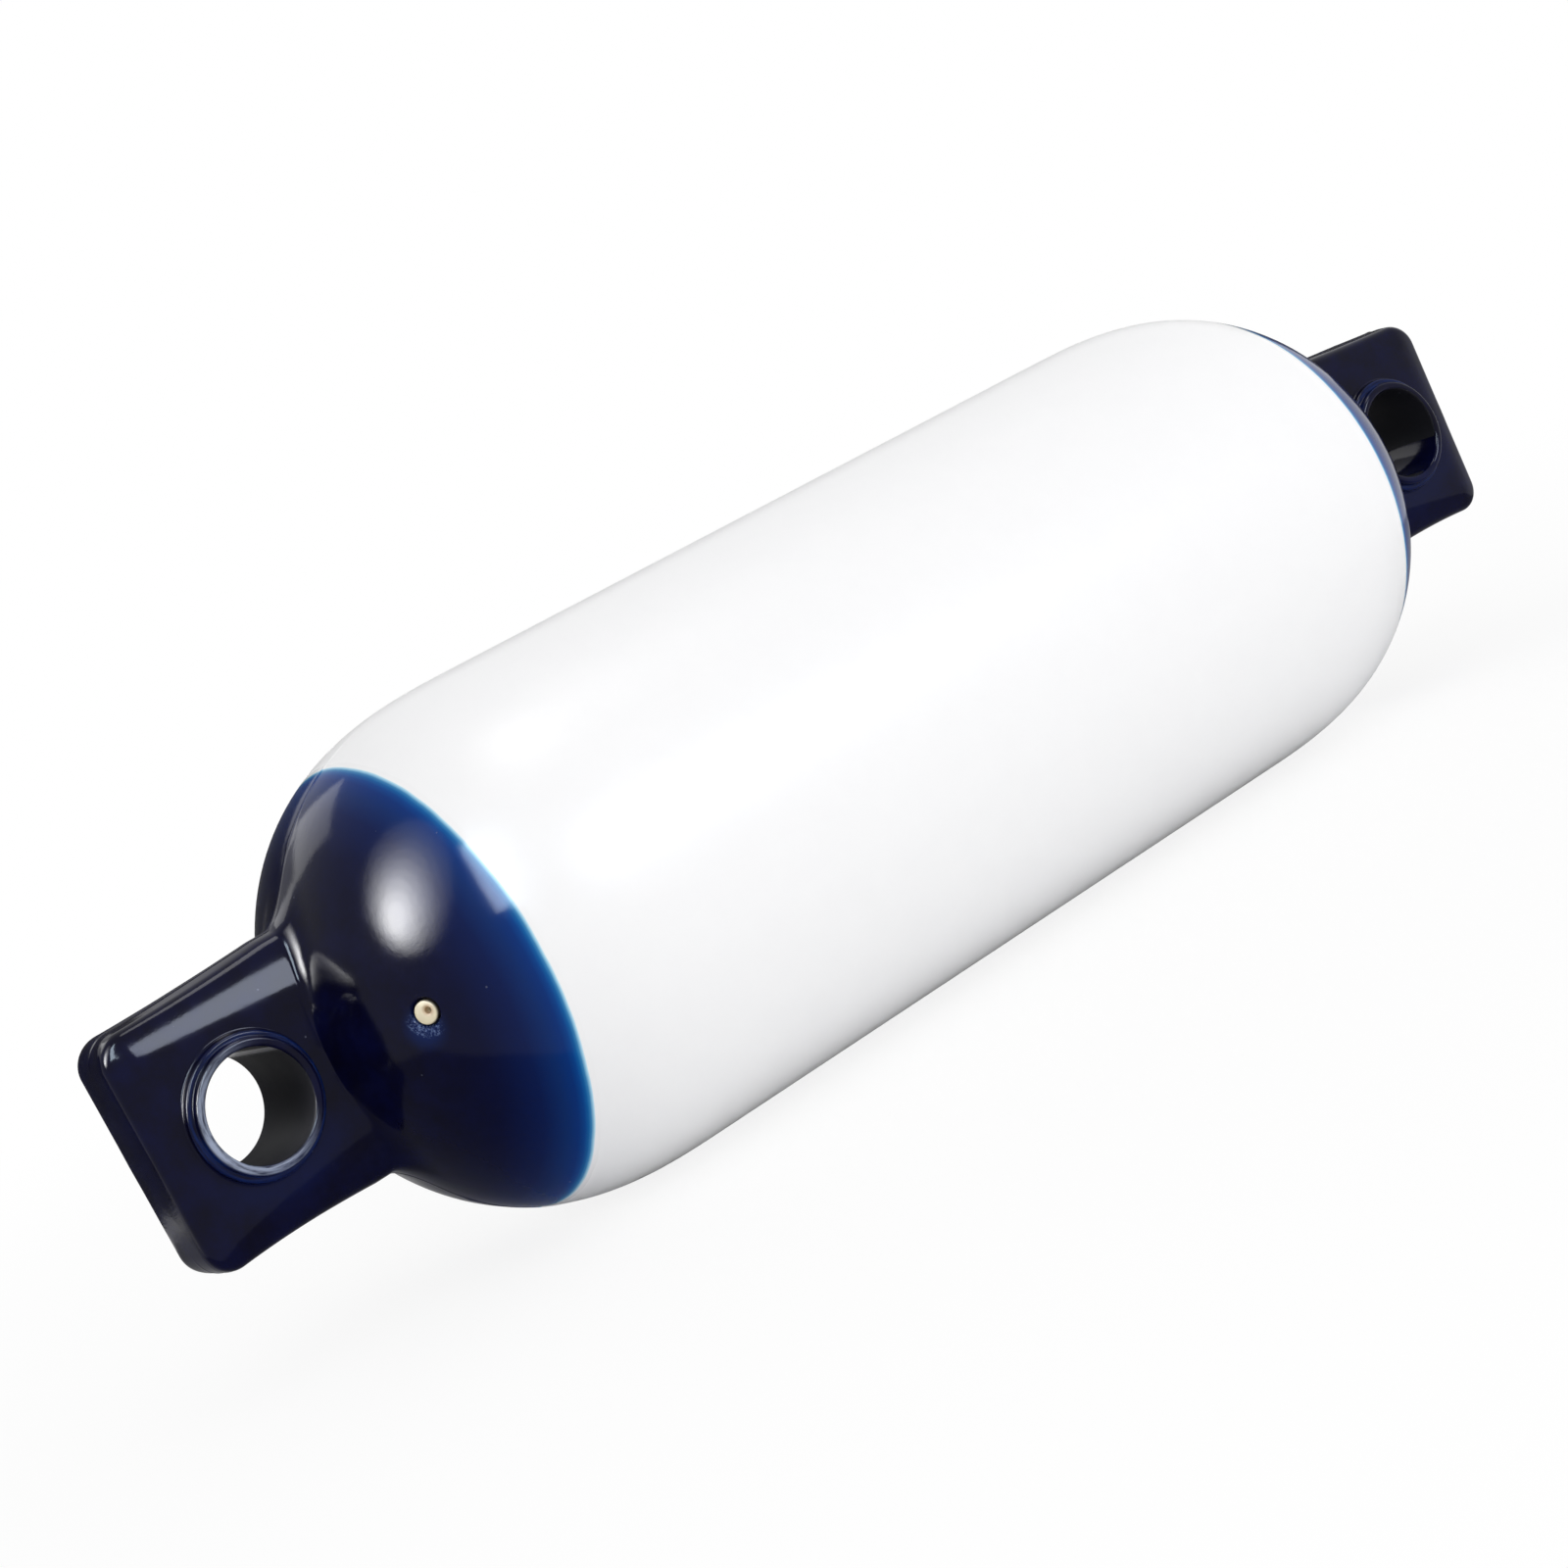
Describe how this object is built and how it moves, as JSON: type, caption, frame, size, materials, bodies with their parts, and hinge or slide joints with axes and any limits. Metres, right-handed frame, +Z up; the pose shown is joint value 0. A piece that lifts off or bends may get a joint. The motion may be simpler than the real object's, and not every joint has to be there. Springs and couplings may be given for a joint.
{
  "type": "boat fender",
  "caption": "Cylindrical inflatable boat fender with domed shoulders, a flat lug with a collared rope hole at each end and a needle valve in one shoulder.",
  "frame": {"origin": "centre of the outline box on the surface that the fender lies on", "axes": "+X along the fender towards the end without the valve, Y along the rope holes, +Z up"},
  "size_m": [0.586, 0.165, 0.1646],
  "materials": {
    "vinyl": "glossy white soft vinyl, with a thin glossy navy blue coat over both ends",
    "valve_rubber": "matt cream rubber"
  },
  "bodies": {
    "root": {"fender_shell": "vinyl", "valve_plug": "valve_rubber"}
  },
  "joints": []
}
